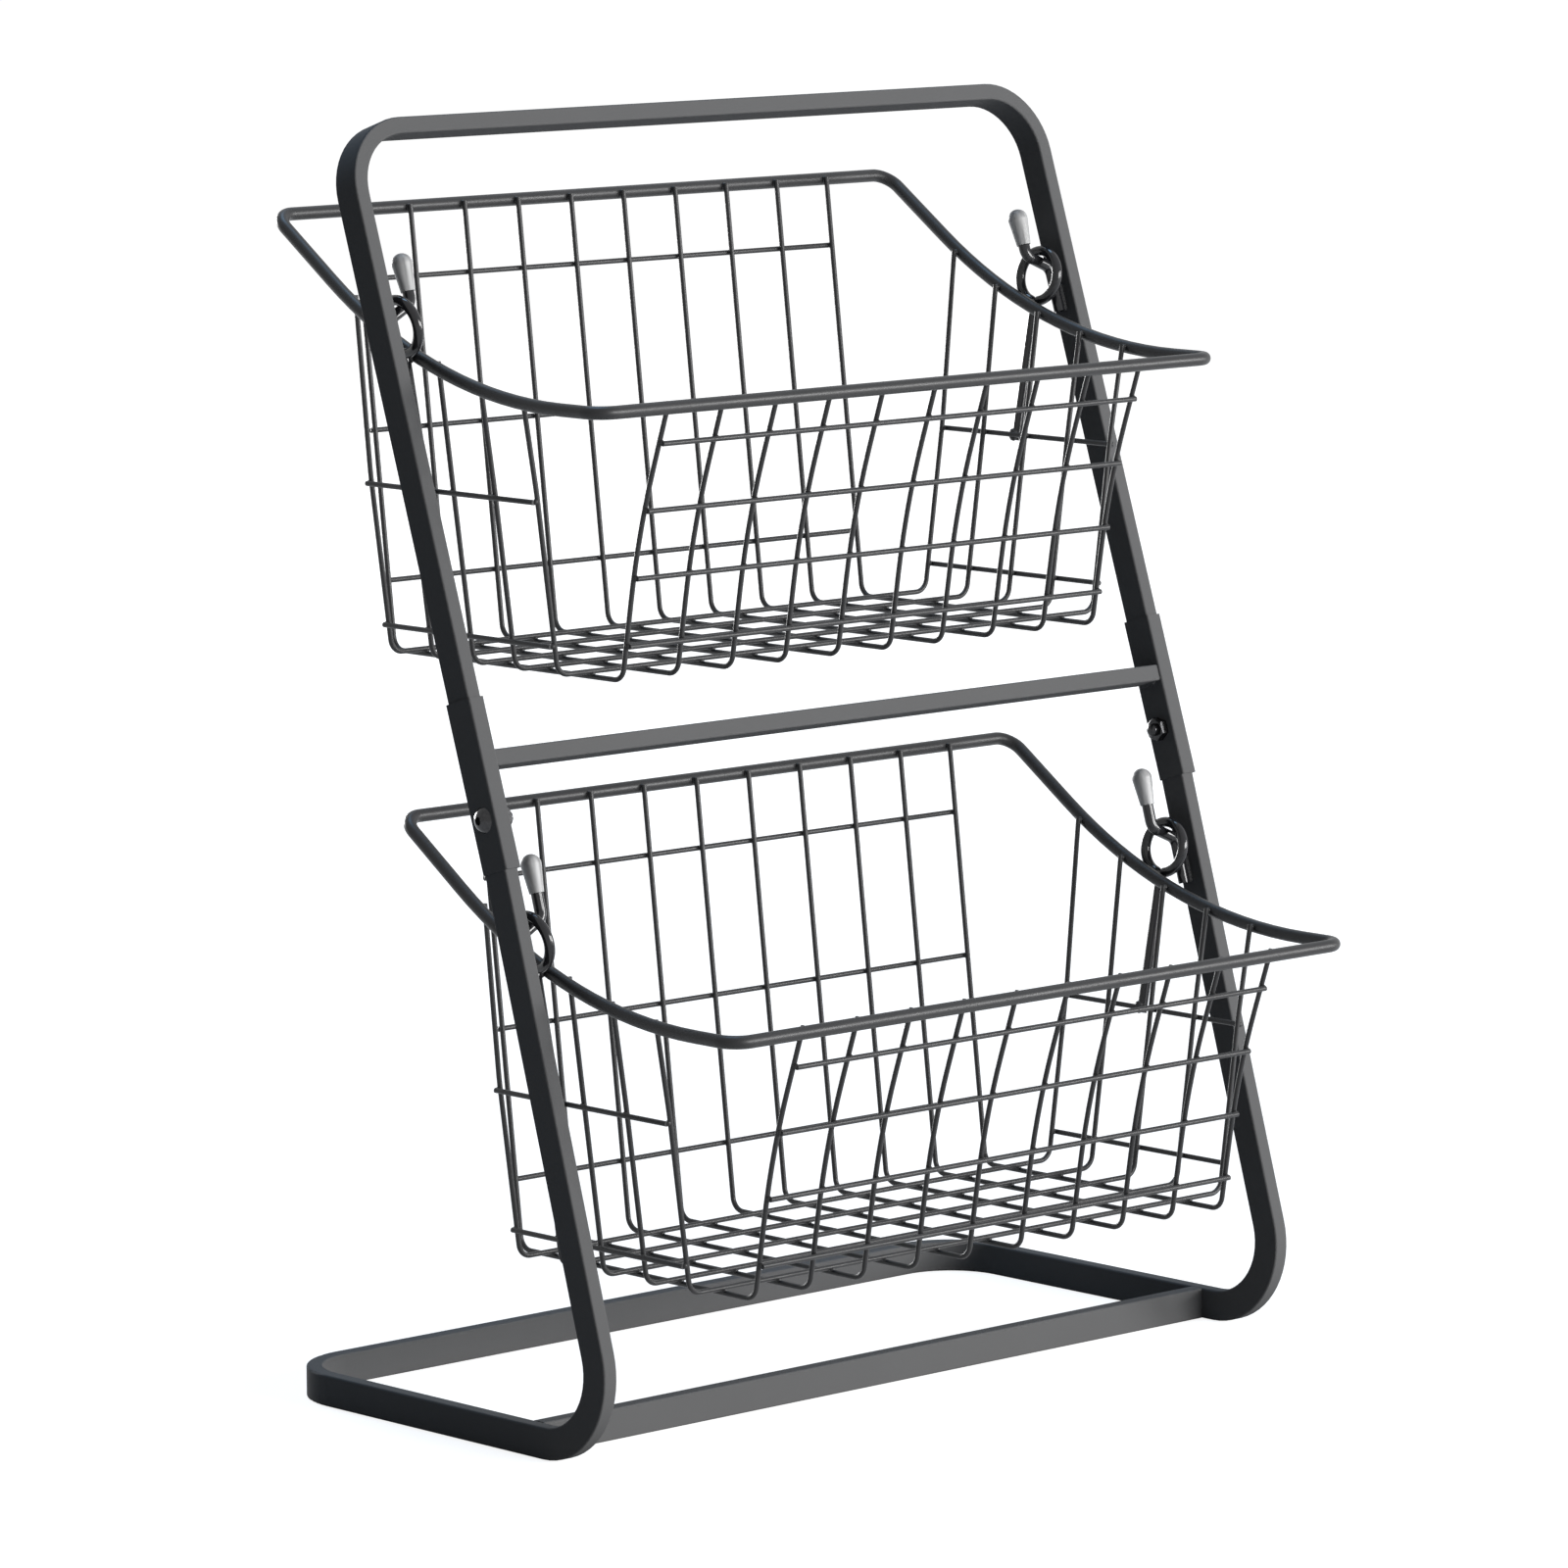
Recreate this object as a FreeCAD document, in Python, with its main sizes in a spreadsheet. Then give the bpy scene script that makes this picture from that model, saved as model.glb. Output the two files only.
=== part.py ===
import FreeCAD
import Part
import Sketcher
import math
import os

from FreeCAD import Placement, Rotation, Vector

# Two wire baskets hung by eyes on the hooks of a leaning flat-bar stand.
# The origin is on the floor in the middle of the whole outline: X to the right, Y to the back, Z up.

# Driving sizes in millimetres and degrees, round bends by their inner radius
SIZES = {
    # Flat bar of the stand
    "bar_width": 12.0,
    "bar_thickness": 6.3,
    "bar_edge": 0.8,
    "stand_width": 358.4,
    # Lower half of the stand
    "lower_lean": 16.53,
    "base_depth": 199.4,
    "base_bend": 22.5,
    "base_corner": 23.7,
    "crossbar_setback": 5.4,
    "lower_basket_room": 46.2,
    "joint_above_hook": 36.4,
    # Upper half of the stand
    "upper_lean": 18.3,
    "top_corner": 21.7,
    "top_above_hook": 72.1,
    "mid_bar_height": 23.5,
    "upper_basket_room": 20.6,
    # Sleeves in which the upper and lower uprights meet
    "sleeve_wall": 0.4,
    "sleeve_side_gap": 0.1,
    "sleeve_slip": 0.05,
    "sleeve_below": 14.5,
    "sleeve_above": 49.5,
    "bar_tongue": 12.0,
    "bar_end_gap": 0.5,
    # Screws and nuts of the joint
    "screw_height": 5.0,
    "screw_diameter": 5.0,
    "screw_hole_gap": 0.25,
    "screw_head_width": 9.5,
    "screw_head_height": 2.7,
    "screw_socket": 3.0,
    "screw_socket_depth": 1.4,
    "screw_end": 1.6,
    "screw_end_dome": 1.1,
    "nut_width": 8.0,
    "nut_height": 3.5,
    "thread_gap": 0.05,
    # Hooks and their clear tips
    "hook_wire": 4.5,
    "hook_leg": 20.0,
    "hook_slope": 25.7,
    "hook_inner_reach": 6.9,
    "hook_bend": 2.25,
    "upper_hook_setback": 7.1,
    "upper_hook_rise": 19.7,
    "lower_hook_setback": 8.5,
    "lower_hook_rise": 24.5,
    "tip_length": 14.5,
    "tip_width": 7.8,
    "tip_lip": 0.45,
    "tip_end_wall": 2.5,
    "tip_gap": 0.05,
    # Hangers of the baskets
    "hanger_wire": 4.0,
    "eye_bore": 16.0,
    "eye_neck": 2.0,
    "eye_end_gap": 0.15,
    "hook_clearance": 0.45,
    "shank_overrun": 2.0,
    # Rim of a basket, reaches measured from the swing axis to the wire's middle
    "rim_wire": 5.0,
    "basket_clearance": 11.9,
    "rim_front_reach": 101.8,
    "rim_back_reach": 79.8,
    "rim_drop": 30.7,
    "rim_rise": 62.2,
    "rim_level": 90.9,
    "rim_sweep": 226.0,
    "rim_corner": 5.5,
    # Grid of a basket
    "grid_wire": 2.0,
    "grid_bend": 4.5,
    "weld_gap": 0.03,
    "wire_overrun": 0.6,
    "basket_depth": 102.5,
    "front_setback": 29.0,
    "back_setback": 23.9,
    "side_setback": 19.6,
    "front_knee_height": 55.0,
    "front_knee_reach": 9.0,
    "front_knee_blend": 26.0,
    "side_knee_height": 67.5,
    "side_knee_reach": 9.7,
    "side_knee_blend": 4.0,
    "long_wire_count": 10,
    "long_wire_margin": 36.5,
    "cross_wire_count": 5,
    "cross_front_margin": 16.6,
    "cross_back_margin": 18.5,
    # Straight rails around a basket
    "rail_overrun": 0.3,
    "front_rail_count": 4,
    "front_rail_drop": 13.1,
    "front_rail_pitch": 25.4,
    "back_rail_count": 3,
    "back_rail_drop": 25.8,
    "back_rail_pitch": 56.5,
    "side_rail_count": 2,
    "side_rail_height": 11.0,
    "side_rail_pitch": 53.7,
    # How far a cutting tool runs past the face it cuts
    "cut_past": 1.0,
}

ALONG_X = Vector(1, 0, 0)
ALONG_Y = Vector(0, 1, 0)
ALONG_Z = Vector(0, 0, 1)
VOLUME_TOLERANCE_PERCENT = 0.1
HALVINGS = 60

document = FreeCAD.newDocument("tiered_wire_basket")
size = document.addObject("Spreadsheet::Sheet", "Size")
for row, (alias, number) in enumerate(SIZES.items(), start=1):
    size.set(f"A{row}", alias)
    size.set(f"B{row}", str(number))
    size.setAlias(f"B{row}", alias)
document.recompute()

sub_parts = []
swept_parts = []


def moved(base, rotation=None):
    return Placement(base, rotation or Rotation())


def mirrored(point):
    return Vector(-point.x, point.y, point.z)


# Paths of bent wire and bar


def corner_arc(before, corner, after, radius):
    """Start, middle and end of the arc that rounds a corner between two straight runs."""
    inward = (before - corner).normalize()
    onward = (after - corner).normalize()
    half = inward.getAngle(onward) / 2
    reach = radius / math.tan(half)
    toward_centre = (inward + onward).normalize()
    middle = corner + toward_centre * (radius / math.sin(half) - radius)
    return corner + inward * reach, middle, corner + onward * reach


def blend_radius(before, corner, after, reach):
    """Radius of the arc that leaves both straight runs at a given reach from their corner."""
    half = (before - corner).getAngle(after - corner) / 2
    return reach * math.tan(half)


def bent_edges(corners, radii):
    """Straight runs through the corners, each inner corner rounded by a tangent arc."""
    edges = []
    here = corners[0]
    for before, corner, after, radius in zip(corners, corners[1:], corners[2:], radii):
        start, middle, end = corner_arc(before, corner, after, radius)
        edges.append(Part.LineSegment(here, start).toShape())
        edges.append(Part.Arc(start, middle, end).toShape())
        here = end
    edges.append(Part.LineSegment(here, corners[-1]).toShape())
    return edges


def crossing(edges, direction, distance):
    """Point and tangent where a run of edges passes a given distance along a direction."""

    def past(edge, parameter):
        return edge.valueAt(parameter).dot(direction) - distance

    for edge in edges:
        low, high = edge.ParameterRange
        if past(edge, low) * past(edge, high) > 0:
            continue
        for _ in range(HALVINGS):
            middle = (low + high) / 2
            if past(edge, low) * past(edge, middle) > 0:
                low = middle
            else:
                high = middle
        return edge.valueAt(middle), edge.tangentAt(middle)
    raise ValueError(f"no run of wire passes {distance:.2f} mm")


def beside(edges, direction, distance, rail_axis, outward, offset):
    """Middle of a straight rail that touches the outside of a wire where the wire passes a distance."""
    point, tangent = crossing(edges, direction, distance)
    normal = tangent.cross(rail_axis).normalize()
    if normal.dot(outward) < 0:
        normal = normal * -1
    return point + normal * offset


def leaning_end(foot, bar, turn_axis, distance, overrun):
    """End of a straight leg from a foot that passes a bar's middle at a distance and runs past it."""
    across = bar - foot
    turn = math.degrees(math.asin(distance / across.Length))
    leg = Rotation(turn_axis, turn).multVec(across).normalize()
    return foot + leg * (math.sqrt(across.Length**2 - distance**2) + overrun)


# Solids of the document


def finished(solid, label, place):
    """Names a sub-part, puts it in its place and lists it for writing."""
    solid.Label = label
    solid.Placement = place
    sub_parts.append(solid)
    return solid


def swept(name, edges, section):
    """A section carried along a path of edges."""
    path = document.addObject("Part::Feature", f"{name}_path")
    path.Shape = Part.Wire(edges)
    sweep = document.addObject("Part::Sweep", name)
    sweep.Sections = [section]
    sweep.Spine = (path, [f"Edge{number + 1}" for number in range(len(edges))])
    sweep.Solid = True
    sweep.Frenet = False
    swept_parts.append((sweep, section, path))
    return sweep


def round_wire(name, edges, diameter):
    """Round wire along a path of edges, its diameter the named size."""
    start = edges[0].FirstParameter
    section = document.addObject("Part::Circle", f"{name}_section")
    section.setExpression("Radius", f"Size.{diameter} / 2")
    section.Placement = moved(edges[0].valueAt(start), Rotation(ALONG_Z, edges[0].tangentAt(start)))
    return swept(name, edges, section)


def rounded_section(name, across, deep, place=Placement()):
    """Sketch of a rectangle with rounded corners, its width along X and its depth along Y."""
    sketch = document.addObject("Sketcher::SketchObject", f"{name}_section")
    half_across = size.evalExpression(across) / 2
    half_deep = size.evalExpression(deep) / 2
    edge = size.bar_edge
    flat_across = half_across - edge
    flat_deep = half_deep - edge
    sides = [
        (Vector(-flat_across, -half_deep, 0), Vector(flat_across, -half_deep, 0)),
        (Vector(half_across, -flat_deep, 0), Vector(half_across, flat_deep, 0)),
        (Vector(flat_across, half_deep, 0), Vector(-flat_across, half_deep, 0)),
        (Vector(-half_across, flat_deep, 0), Vector(-half_across, -flat_deep, 0)),
    ]
    centres = [
        Vector(flat_across, -flat_deep, 0),
        Vector(flat_across, flat_deep, 0),
        Vector(-flat_across, flat_deep, 0),
        Vector(-flat_across, -flat_deep, 0),
    ]
    lines = [sketch.addGeometry(Part.LineSegment(*ends)) for ends in sides]
    arcs = []
    for number, centre in enumerate(centres):
        start = (number - 1) * math.pi / 2
        corner = Part.ArcOfCircle(Part.Circle(centre, ALONG_Z, edge), start, start + math.pi / 2)
        arcs.append(sketch.addGeometry(corner))
    for number, arc in enumerate(arcs):
        sketch.addConstraint(Sketcher.Constraint("Tangent", lines[number], 2, arc, 1))
        sketch.addConstraint(Sketcher.Constraint("Tangent", arc, 2, lines[(number + 1) % len(lines)], 1))
    bottom, right, top, left = lines
    sketch.addConstraint(Sketcher.Constraint("Horizontal", bottom))
    sketch.addConstraint(Sketcher.Constraint("Horizontal", top))
    sketch.addConstraint(Sketcher.Constraint("Vertical", right))
    sketch.addConstraint(Sketcher.Constraint("Vertical", left))
    for arc in arcs[1:]:
        sketch.addConstraint(Sketcher.Constraint("Equal", arcs[0], arc))
    bound = {
        "edge": (Sketcher.Constraint("Radius", arcs[0], edge), "Size.bar_edge"),
        "to_right": (Sketcher.Constraint("DistanceX", -1, 1, right, 1, half_across), f"({across}) / 2"),
        "to_left": (Sketcher.Constraint("DistanceX", left, 1, -1, 1, half_across), f"({across}) / 2"),
        "to_top": (Sketcher.Constraint("DistanceY", -1, 1, top, 1, half_deep), f"({deep}) / 2"),
        "to_bottom": (Sketcher.Constraint("DistanceY", bottom, 1, -1, 1, half_deep), f"({deep}) / 2"),
    }
    for word, (constraint, expression) in bound.items():
        sketch.renameConstraint(sketch.addConstraint(constraint), word)
        sketch.setExpression(f"Constraints.{word}", expression)
    sketch.Placement = place
    return sketch


def extruded(name, section, length, both_ways=False):
    solid = document.addObject("Part::Extrusion", name)
    solid.Base = section
    solid.DirMode = "Normal"
    solid.setExpression("LengthFwd", length)
    solid.Symmetric = both_ways
    solid.Solid = True
    return solid


def cylinder(name, radius, height, place=Placement()):
    solid = document.addObject("Part::Cylinder", name)
    solid.setExpression("Radius", radius)
    solid.setExpression("Height", height)
    solid.Placement = place
    return solid


def dome(name, width, height, place=Placement()):
    """Round cap on the XY plane, of a given width at its foot and a given height."""
    radius = f"((({width}) / 2)^2 + ({height})^2) / (2 * ({height}))"
    solid = document.addObject("Part::Sphere", name)
    solid.setExpression("Radius", radius)
    solid.setExpression("Angle1", f"asin(1 - ({height}) / ({radius}))")
    sink = size.evalExpression(f"({height}) - ({radius})")
    solid.Placement = place * moved(Vector(0, 0, sink))
    return solid


def hexagon(name, width, height, place=Placement()):
    """Hexagonal prism of a given width across its flats."""
    solid = document.addObject("Part::Prism", name)
    solid.Polygon = 6
    solid.setExpression("Circumradius", f"({width}) / sqrt(3)")
    solid.setExpression("Height", height)
    solid.Placement = place
    return solid


def cut(name, base, tool):
    solid = document.addObject("Part::Cut", name)
    solid.Base = base
    solid.Tool = tool
    return solid


def fused(name, pieces):
    solid = document.addObject("Part::MultiFuse", name)
    solid.Shapes = pieces
    return solid


def grouped(name, pieces):
    group = document.addObject("Part::Compound", name)
    group.Links = pieces
    return group


# Places worked out from the sizes

bar_middle = size.bar_width / 2
upright_x = (size.stand_width - size.bar_thickness) / 2
inner_face = size.stand_width / 2 - size.bar_thickness
rim_x = inner_face - size.basket_clearance - size.rim_wire / 2
rim_low = -size.rim_drop
rim_high = rim_low + size.rim_rise
basket_floor = rim_low - size.basket_depth
floor_below_axis = size.grid_wire / 2 - basket_floor


def leaning(base, lean):
    """Frame of an upright: X across the stand, Y behind the front face, Z up along the bar."""
    return moved(base, Rotation(ALONG_X, -lean))


def height_along(lean, depth, rise):
    """Distance along a leaning bar where a line some depth behind its front face has a given height."""
    slant = math.radians(lean)
    return (rise + depth * math.sin(slant)) / math.cos(slant)


mid_bar_top = size.mid_bar_height + size.bar_thickness
mid_bar_rise = mid_bar_top * math.cos(math.radians(size.upper_lean))
lower_axis_rise = size.bar_width + size.lower_basket_room + floor_below_axis
upper_axis_rise = mid_bar_rise + size.upper_basket_room + floor_below_axis
lower_hook_height = height_along(size.lower_lean, size.lower_hook_setback, lower_axis_rise)
upper_hook_height = height_along(size.upper_lean, size.upper_hook_setback, upper_axis_rise)
lower_upright = lower_hook_height + size.joint_above_hook
upper_upright = upper_hook_height + size.top_above_hook


def stand_frames(foot_line):
    """Frames of the lower and upper uprights, and the swing axes of the lower and upper baskets."""
    lower = leaning(Vector(0, foot_line, 0), size.lower_lean)
    upper = leaning(lower.multVec(Vector(0, 0, lower_upright)), size.upper_lean)
    lower_axis = lower.multVec(Vector(0, size.lower_hook_setback, lower_hook_height))
    upper_axis = upper.multVec(Vector(0, size.upper_hook_setback, upper_hook_height))
    return lower, upper, lower_axis, upper_axis


_, _, lower_axis, upper_axis = stand_frames(0)
foot_line = (size.rim_front_reach - size.rim_back_reach - lower_axis.y - upper_axis.y) / 2
foot = Vector(0, foot_line, 0)
lower_frame, upper_frame, lower_axis, upper_axis = stand_frames(foot_line)


# Stand

BAR_ACROSS = "Size.bar_thickness"
BAR_DEEP = "Size.bar_width"
LEAN_STEP = "abs(Size.upper_lean - Size.lower_lean) * 1 deg"
SLEEVE_GAP = f"(max(Size.bar_tongue; Size.sleeve_below) * sin({LEAN_STEP}) + Size.sleeve_slip)"
SLEEVE_BORE = f"Size.bar_width + 2 * {SLEEVE_GAP}"
SLEEVE_SIDE = "(Size.sleeve_side_gap + Size.sleeve_wall)"
SCREW_HOLE = "Size.screw_diameter / 2 + Size.screw_hole_gap"
INNER_WIDTH = "Size.stand_width - 2 * Size.bar_thickness"
sleeve_side = size.sleeve_side_gap + size.sleeve_wall
screw_point = Vector(0, bar_middle, size.screw_height)


def screw_hole(name, place):
    """Tool for a hole along X, long enough for both uprights."""
    through = moved(Vector(-size.stand_width / 2 - size.cut_past, 0, 0), Rotation(ALONG_Y, 90))
    return cylinder(name, SCREW_HOLE, "Size.stand_width + 2 * Size.cut_past", place * through)


def lower_frame_bar():
    """Both lower uprights, the floor bars and the back floor bar, bent from one bar."""
    tilt = leaning(Vector(), size.lower_lean)
    top = tilt.multVec(Vector(-upright_x, bar_middle, lower_upright + size.bar_tongue))
    floor_height = height_along(size.lower_lean, bar_middle, bar_middle)
    bottom = tilt.multVec(Vector(-upright_x, bar_middle, floor_height))
    back = Vector(-upright_x, size.base_depth - size.bar_thickness / 2, bar_middle)
    half = [top, bottom, back]
    corners = half + [mirrored(point) for point in reversed(half)]
    edgewise = size.base_bend + size.bar_width / 2
    flatwise = size.base_corner + size.bar_thickness / 2
    section = rounded_section("lower_bar", BAR_ACROSS, BAR_DEEP, moved(top, tilt.Rotation))
    bar = swept("lower_bar", bent_edges(corners, [edgewise, flatwise, flatwise, edgewise]), section)
    hole = screw_hole("lower_bar_hole", moved(upper_frame.multVec(screw_point) - foot))
    finished(cut("lower_bar_drilled", bar, hole), "lower_frame_bar", moved(foot))
    bend_end = bottom.y + edgewise * math.tan(math.radians(90 + size.lower_lean) / 2)
    return bend_end


def front_crossbar(bend_end):
    """Bar on edge between the floor bars, just behind their front bends."""
    middle = bend_end + size.crossbar_setback + size.bar_thickness / 2
    section = rounded_section("front_crossbar", BAR_ACROSS, BAR_DEEP)
    bar = extruded("front_crossbar", section, INNER_WIDTH, both_ways=True)
    on_edge = Rotation(Vector(1, 1, 1), 120)
    finished(bar, "front_crossbar", moved(foot + Vector(0, middle, bar_middle), on_edge))


def upper_frame_bar():
    """Both upper uprights and the top bar, bent from one bar."""
    start = Vector(-upright_x, bar_middle, size.bar_tongue + size.bar_end_gap)
    top = Vector(-upright_x, bar_middle, upper_upright - size.bar_thickness / 2)
    flatwise = size.top_corner + size.bar_thickness / 2
    section = rounded_section("upper_bar", BAR_ACROSS, BAR_DEEP, moved(start))
    edges = bent_edges([start, top, mirrored(top), mirrored(start)], [flatwise, flatwise])
    finished(swept("upper_bar", edges, section), "upper_frame_bar", upper_frame)


def mid_crossbar():
    """Bar lying flat between the two sleeves."""
    section = rounded_section("mid_crossbar", BAR_ACROSS, BAR_DEEP)
    bar = extruded("mid_crossbar", section, f"{INNER_WIDTH} - 2 * {SLEEVE_SIDE}", both_ways=True)
    middle = Vector(0, bar_middle, size.mid_bar_height + size.bar_thickness / 2)
    finished(bar, "mid_crossbar", upper_frame * moved(middle, Rotation(ALONG_Y, -90)))


def sleeve(side, label):
    """Thin sleeve around the meeting ends of two uprights, drilled for the screw."""
    bore_across = "Size.bar_thickness + 2 * Size.sleeve_side_gap"
    skin = "2 * Size.sleeve_wall"
    outside = rounded_section(f"{label}_outside", f"{bore_across} + {skin}", f"{SLEEVE_BORE} + {skin}")
    inside = rounded_section(f"{label}_inside", bore_across, SLEEVE_BORE)
    length = "Size.sleeve_below + Size.sleeve_above"
    shell = cut(
        f"{label}_shell",
        extruded(f"{label}_outer", outside, length),
        extruded(f"{label}_inner", inside, length),
    )
    hole = screw_hole(f"{label}_hole", moved(Vector(0, 0, size.sleeve_below + size.screw_height)))
    seat = moved(Vector(side * upright_x, bar_middle, -size.sleeve_below))
    finished(cut(f"{label}_drilled", shell, hole), label, upper_frame * seat)


def joint_screw(name, side):
    """Button-head screw along X, its head seated on the outer face of a sleeve."""
    seat = screw_point + Vector(side * (size.stand_width / 2 + sleeve_side), 0, 0)
    place = moved(seat, Rotation(ALONG_Y, side * 90))
    grip = f"(Size.bar_thickness + 2 * {SLEEVE_SIDE} + Size.nut_height + Size.screw_end)"
    foot_end = moved(Vector(0, 0, -size.evalExpression(grip)))
    facing_down = foot_end * moved(Vector(), Rotation(ALONG_X, 180))
    head = dome(f"{name}_head", "Size.screw_head_width", "Size.screw_head_height")
    shank = cylinder(f"{name}_shank", "Size.screw_diameter / 2", grip, foot_end)
    end = dome(f"{name}_end", "Size.screw_diameter", "Size.screw_end_dome", facing_down)
    socket_floor = moved(Vector(0, 0, size.screw_head_height - size.screw_socket_depth))
    socket = hexagon(f"{name}_socket", "Size.screw_socket", "Size.screw_head_height", socket_floor)
    screw = cut(name, fused(f"{name}_body", [head, shank, end]), socket)
    screw.Placement = place
    return screw


def joint_nut(name, side):
    """Hexagon nut on the inner face of a sleeve."""
    seat = screw_point + Vector(side * (inner_face - sleeve_side), 0, 0)
    body = hexagon(f"{name}_body", "Size.nut_width", "Size.nut_height")
    past = moved(Vector(0, 0, -size.cut_past))
    bore = cylinder(
        f"{name}_bore",
        "Size.screw_diameter / 2 + Size.thread_gap",
        "Size.nut_height + 2 * Size.cut_past",
        past,
    )
    nut = cut(name, body, bore)
    nut.Placement = moved(seat, Rotation(ALONG_Y, -side * 90))
    return nut


def hook(side, label, frame, setback, height, rise):
    """Cranked wire on the inner face of an upright: leg, sloping saddle and upright free end."""
    leg_x = inner_face - size.hook_wire / 2 - size.weld_gap
    end_x = saddle.x - size.hook_inner_reach
    slope = math.tan(math.radians(size.hook_slope))
    corners = [
        Vector(side * leg_x, setback, height - size.hook_leg),
        Vector(side * leg_x, setback, height - (leg_x - saddle.x) * slope),
        Vector(side * end_x, setback, height + size.hook_inner_reach * slope),
        Vector(side * end_x, setback, height + rise),
    ]
    bend = size.hook_bend + size.hook_wire / 2
    finished(round_wire(f"{label}_wire", bent_edges(corners, [bend, bend]), "hook_wire"), label, frame)
    hook_tip(f"{label}_tip", frame, corners[-1])


def hook_tip(label, frame, wire_end):
    """Clear drop-shaped cap, thin at its mouth and round at its top, over the end of a hook."""
    taper = document.addObject("Part::Cone", f"{label}_taper")
    taper.setExpression("Radius1", "Size.hook_wire / 2 + Size.tip_gap + Size.tip_lip")
    taper.setExpression("Radius2", "Size.tip_width / 2")
    taper.setExpression("Height", "Size.tip_length - Size.tip_width / 2")
    crown = document.addObject("Part::Sphere", f"{label}_crown")
    crown.setExpression("Radius", "Size.tip_width / 2")
    crown.Placement = moved(Vector(0, 0, size.tip_length - size.tip_width / 2))
    bore = cylinder(
        f"{label}_bore",
        "Size.hook_wire / 2 + Size.tip_gap",
        "Size.tip_length - Size.tip_end_wall + Size.tip_gap + Size.cut_past",
        moved(Vector(0, 0, -size.cut_past)),
    )
    cap = cut(f"{label}_cap", fused(f"{label}_drop", [taper, crown]), bore)
    mouth = wire_end + Vector(0, 0, size.tip_end_wall - size.tip_length)
    finished(cap, label, frame * moved(mouth))


# Baskets, drawn from the middle of the swing axis

rim_bend = Vector(rim_x, size.rim_level - size.rim_front_reach, rim_low)
rim_front = Vector(rim_x, -size.rim_front_reach, rim_low)
rim_back = Vector(rim_x, size.rim_back_reach, rim_high)
rim_turn = math.pi - (rim_front - rim_bend).getAngle(rim_back - rim_bend)
rim_round = size.rim_corner + size.rim_wire / 2
rim_room = min((rim_front - rim_bend).Length, (rim_back - rim_bend).Length) - rim_round
rim_sweep = min(size.rim_sweep, rim_room / math.tan(rim_turn / 2))
rim_side = bent_edges([rim_front, rim_bend, rim_back], [rim_sweep])
rim_touch = (size.rim_wire + size.grid_wire) / 2 + size.weld_gap
rail_touch = size.grid_wire + size.weld_gap
grid_round = size.grid_bend + size.grid_wire / 2

# Floor corners and knees of the grid wires
front_corner = Vector(0, size.front_setback - size.rim_front_reach, basket_floor)
back_corner = Vector(0, size.rim_back_reach - size.back_setback, basket_floor)
front_knee = front_corner + Vector(0, -size.front_knee_reach, size.front_knee_height)
cross_floor = basket_floor + size.grid_wire + size.weld_gap
side_corner = Vector(rim_x - size.side_setback, 0, cross_floor)
side_knee = side_corner + Vector(size.side_knee_reach, 0, size.side_knee_height)
first_cross = front_corner.y + size.cross_front_margin
last_cross = back_corner.y - size.cross_back_margin
last_long = rim_x - size.long_wire_margin


def spread(first, last, count):
    """Evenly spaced places from first to last."""
    return [first + (last - first) * step / (count - 1) for step in range(count)]


def rows(first, pitch, count):
    """Heights of a number of rows, one pitch apart."""
    return [first + pitch * row for row in range(count)]


def long_wire_legs():
    """Front leg, floor run and back leg of a wire that runs from front to back, as corners and radii."""
    front_bar = Vector(0, rim_front.y, rim_front.z)
    back_bar = Vector(0, rim_back.y, rim_back.z)
    front_end = leaning_end(front_knee, front_bar, ALONG_X * -1, rim_touch, size.wire_overrun)
    back_end = leaning_end(back_corner, back_bar, ALONG_X, rim_touch, size.wire_overrun)
    corners = [front_end, front_knee, front_corner, back_corner, back_end]
    knee_round = blend_radius(front_end, front_knee, front_corner, size.front_knee_blend)
    return corners, [knee_round, grid_round, grid_round]


def cross_wire_legs(depth):
    """Legs and floor run of a wire that runs from side to side at one depth, as corners and radii."""
    rim_bar, _ = crossing(rim_side, ALONG_Y, depth)
    corner = side_corner + Vector(0, depth, 0)
    knee = side_knee + Vector(0, depth, 0)
    end = leaning_end(knee, rim_bar, ALONG_Y * -1, rim_touch, size.wire_overrun)
    half = [end, knee, corner]
    corners = half + [mirrored(point) for point in reversed(half)]
    knee_round = blend_radius(end, knee, corner, size.side_knee_blend)
    return corners, [knee_round, grid_round, grid_round, knee_round]


long_edges = bent_edges(*long_wire_legs())
front_leg = long_edges[:4]
back_leg = long_edges[-2:]
cross_edges = bent_edges(*cross_wire_legs(first_cross))
side_leg = cross_edges[:4]


def rim(label, place):
    """Closed loop of heavy wire, level in front and swept up at both sides to a high back."""
    middle = Vector(0, rim_back.y, rim_back.z)
    half = [rim_back, rim_bend, rim_front]
    corners = [middle] + half + [mirrored(point) for point in reversed(half)] + [middle]
    radii = [rim_round, rim_sweep, rim_round, rim_round, rim_sweep, rim_round]
    finished(round_wire(f"{label}_wire", bent_edges(corners, radii), "rim_wire"), label, place)


def long_wires(label, place):
    """Wires from front to back under the basket, both ends inside the rim."""
    corners, radii = long_wire_legs()
    for number, across in enumerate(spread(-last_long, last_long, size.long_wire_count), start=1):
        edges = bent_edges([point + Vector(across, 0, 0) for point in corners], radii)
        wire = round_wire(f"{label}_bent_{number:02d}", edges, "grid_wire")
        finished(wire, f"{label}_{number:02d}", place)


def cross_wires(label, place):
    """Wires from side to side lying on the long wires, both ends inside the rim."""
    for number, depth in enumerate(spread(first_cross, last_cross, size.cross_wire_count), start=1):
        edges = bent_edges(*cross_wire_legs(depth))
        wire = round_wire(f"{label}_bent_{number}", edges, "grid_wire")
        finished(wire, f"{label}_{number}", place)


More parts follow.
